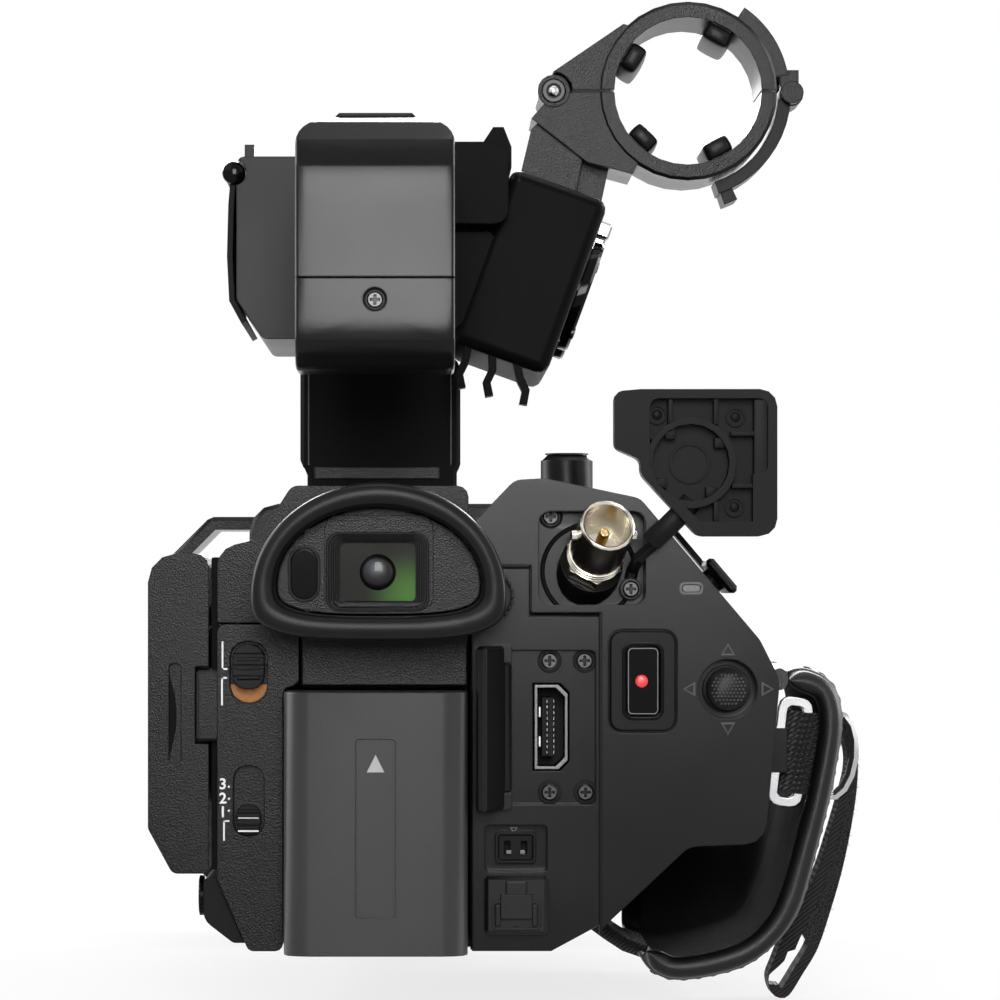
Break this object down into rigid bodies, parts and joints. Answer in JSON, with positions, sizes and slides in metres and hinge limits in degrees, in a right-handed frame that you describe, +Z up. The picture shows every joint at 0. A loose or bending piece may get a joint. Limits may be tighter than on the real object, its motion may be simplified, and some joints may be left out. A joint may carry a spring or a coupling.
{
  "type": "handheld camcorder",
  "caption": "Handheld camcorder with top handle, audio unit, microphone holder, fold-out screen, viewfinder, hand strap, lens hood and a slide-out battery.",
  "frame": {"origin": "on the underside of the base plate, below the lens axis", "axes": "+Z up, +Y the way the lens looks, +X towards the hand grip"},
  "size_m": [0.1344, 0.2669, 0.1908],
  "materials": {
    "grained": "fine pebble grain",
    "satin": "satin",
    "dark": "satin black",
    "battery_grey": "fine texture",
    "rubber": "matt",
    "gloss": "gloss black",
    "nickel": "nickel plate",
    "steel": "polished",
    "glass": "coated",
    "clear": "clear",
    "board": "solder mask",
    "leather": "smooth grain",
    "webbing": "woven",
    "lamp": "diffuse"
  },
  "bodies": {
    "body": {"left_shell": "grained", "top_cover": "grained", "grip_shell": "satin", "jack_panel": "satin", "battery_plate": "grained", "base_plate": "dark", "front_cover": "satin", "lens_barrel": "satin", "front_lens": "glass", "lens_hood": "satin", "sensor_board": "board", "main_board": "board", "lcd_hinge": "dark", "control_pod": "dark", "hdmi_socket": "steel", "dc_socket": "dark", "bnc_socket": "nickel", "start_ring": "dark", "power_led": "lamp", "handle": "satin", "handle_rear_cap": "satin", "handle_leg": "dark", "audio_box": "grained", "xlr_box": "satin", "xlr_socket_1": "dark", "xlr_socket_2": "dark", "mic_clamp_lower": "satin", "strap_loop": "steel", "strap_web": "webbing", "strap_pad": "leather", "d_ring": "steel", "strap_tail": "webbing"},
    "screen": {"lcd_panel": "grained", "lcd_screen": "glass"},
    "viewfinder": {"evf_housing": "satin", "eyecup": "rubber", "eye_panel": "grained", "eye_lens": "glass"},
    "diopter": {"diopter_dial": "rubber"},
    "battery": {"battery": "battery_grey"},
    "auto_knob": {"auto_switch": "dark"},
    "filter_knob": {"nd_switch": "dark"},
    "hdmi_door": {"hdmi_door": "rubber"},
    "dc_cover": {"dc_cover": "rubber"},
    "sdi_cap": {"sdi_cap": "rubber"},
    "start_button": {"start_button": "gloss"},
    "stick_gimbal": {"stick_gimbal": "steel"},
    "stick_cap": {"stick_cap": "rubber"},
    "top_button": {"top_button": "rubber"},
    "zoom_rocker": {"zoom_rocker": "dark"},
    "manual_dial": {"manual_dial": "dark"},
    "lens_ring": {"lens_ring": "rubber"},
    "mic_clamp": {"mic_clamp_upper": "satin"},
    "mic_latch": {"mic_latch": "dark"},
    "audio_door": {"audio_door": "clear"},
    "audio_dial_1": {"audio_dial_1": "dark"},
    "audio_dial_2": {"audio_dial_2": "dark"},
    "xlr_tab_1": {"xlr_tab_1": "dark"},
    "xlr_tab_2": {"xlr_tab_2": "dark"}
  },
  "joints": [
    {"name": "screen_swing", "type": "hinge", "parent": "body", "child": "screen", "pos_m": [-0.03845, 0.0076, 0.04255], "axis": [0, 0, -1], "range_deg": [0, 90]},
    {"name": "viewfinder_slide", "type": "slide", "parent": "body", "child": "viewfinder", "axis": [0, -1, 0], "range_m": [0, 0.018]},
    {"name": "diopter_turn", "type": "hinge", "parent": "viewfinder", "child": "diopter", "pos_m": [0.01505, -0.0904, 0.0632], "axis": [0, 1, 0], "range_deg": [-60, 60]},
    {"name": "battery_slide", "type": "slide", "parent": "body", "child": "battery", "axis": [0, 0, -1], "range_m": [0, 0.03]},
    {"name": "auto_slide", "type": "slide", "parent": "body", "child": "auto_knob", "axis": [0, 0, -1], "range_m": [0, 0.002]},
    {"name": "filter_slide", "type": "slide", "parent": "body", "child": "filter_knob", "axis": [0, 0, 1], "range_m": [0, 0.0063]},
    {"name": "hdmi_door_hinge", "type": "hinge", "parent": "body", "child": "hdmi_door", "pos_m": [0.0179, -0.0869, 0.0402], "axis": [0, 0, 1], "range_deg": [0, 105]},
    {"name": "dc_cover_hinge", "type": "hinge", "parent": "body", "child": "dc_cover", "pos_m": [0.0203, -0.0869, 0.0146], "axis": [-1, 0, 0], "range_deg": [0, 175]},
    {"name": "sdi_cap_sway", "type": "hinge", "parent": "body", "child": "sdi_cap", "pos_m": [0.0406, -0.077, 0.0644], "axis": [0, 1, 0], "range_deg": [-5, 5], "stiffness_Nm_per_rad": 0.05},
    {"name": "start_press", "type": "slide", "parent": "body", "child": "start_button", "axis": [0, 1, 0], "range_m": [0, 0.001], "stiffness_N_per_m": 400},
    {"name": "stick_tilt", "type": "hinge", "parent": "body", "child": "stick_gimbal", "pos_m": [0.0574, -0.08, 0.0469], "axis": [1, 0, 0], "range_deg": [-6, 6], "stiffness_Nm_per_rad": 0.03},
    {"name": "stick_sway", "type": "hinge", "parent": "stick_gimbal", "child": "stick_cap", "pos_m": [0.0574, -0.08, 0.0469], "axis": [0, 0, 1], "range_deg": [-6, 6], "stiffness_Nm_per_rad": 0.03},
    {"name": "top_press", "type": "slide", "parent": "body", "child": "top_button", "axis": [0, 0, -1], "range_m": [0, 0.0008], "stiffness_N_per_m": 400},
    {"name": "zoom_rock", "type": "hinge", "parent": "body", "child": "zoom_rocker", "pos_m": [0.0573, -0.058, 0.0668], "axis": [0.6478, 0, -0.7618], "range_deg": [-6, 6], "stiffness_Nm_per_rad": 0.05},
    {"name": "manual_turn", "type": "hinge", "parent": "body", "child": "manual_dial", "pos_m": [-0.0349, -0.068, 0.0098], "axis": [-1, 0, 0], "range_deg": [-150, 150]},
    {"name": "lens_turn", "type": "hinge", "parent": "body", "child": "lens_ring", "pos_m": [0, 0.0986, 0.041], "axis": [0, 1, 0], "continuous": true},
    {"name": "mic_clamp_hinge", "type": "hinge", "parent": "body", "child": "mic_clamp", "pos_m": [0.0298, 0.0325, 0.1626], "axis": [0, -1, 0], "range_deg": [0, 50]},
    {"name": "mic_latch_hinge", "type": "hinge", "parent": "mic_clamp", "child": "mic_latch", "pos_m": [0.077, 0.0325, 0.1626], "axis": [0, -1, 0], "range_deg": [0, 100]},
    {"name": "audio_door_hinge", "type": "hinge", "parent": "body", "child": "audio_door", "pos_m": [-0.03185, 0.0185, 0.1435], "axis": [0, 1, 0], "range_deg": [0, 100]},
    {"name": "audio_dial_1_turn", "type": "hinge", "parent": "body", "child": "audio_dial_1", "pos_m": [-0.02815, 0.0075, 0.1299], "axis": [-1, 0, 0], "range_deg": [-135, 135]},
    {"name": "audio_dial_2_turn", "type": "hinge", "parent": "body", "child": "audio_dial_2", "pos_m": [-0.02815, 0.0295, 0.1299], "axis": [-1, 0, 0], "range_deg": [-135, 135]},
    {"name": "xlr_tab_1_press", "type": "slide", "parent": "body", "child": "xlr_tab_1", "axis": [-0.9397, 0, 0.342], "range_m": [0, 0.001], "stiffness_N_per_m": 400},
    {"name": "xlr_tab_2_press", "type": "slide", "parent": "body", "child": "xlr_tab_2", "axis": [-0.9397, 0, 0.342], "range_m": [0, 0.001], "stiffness_N_per_m": 400}
  ],
  "couplings": [
    {"joint": "mic_latch_hinge", "follows": "mic_clamp_hinge", "ratio": 2}
  ]
}
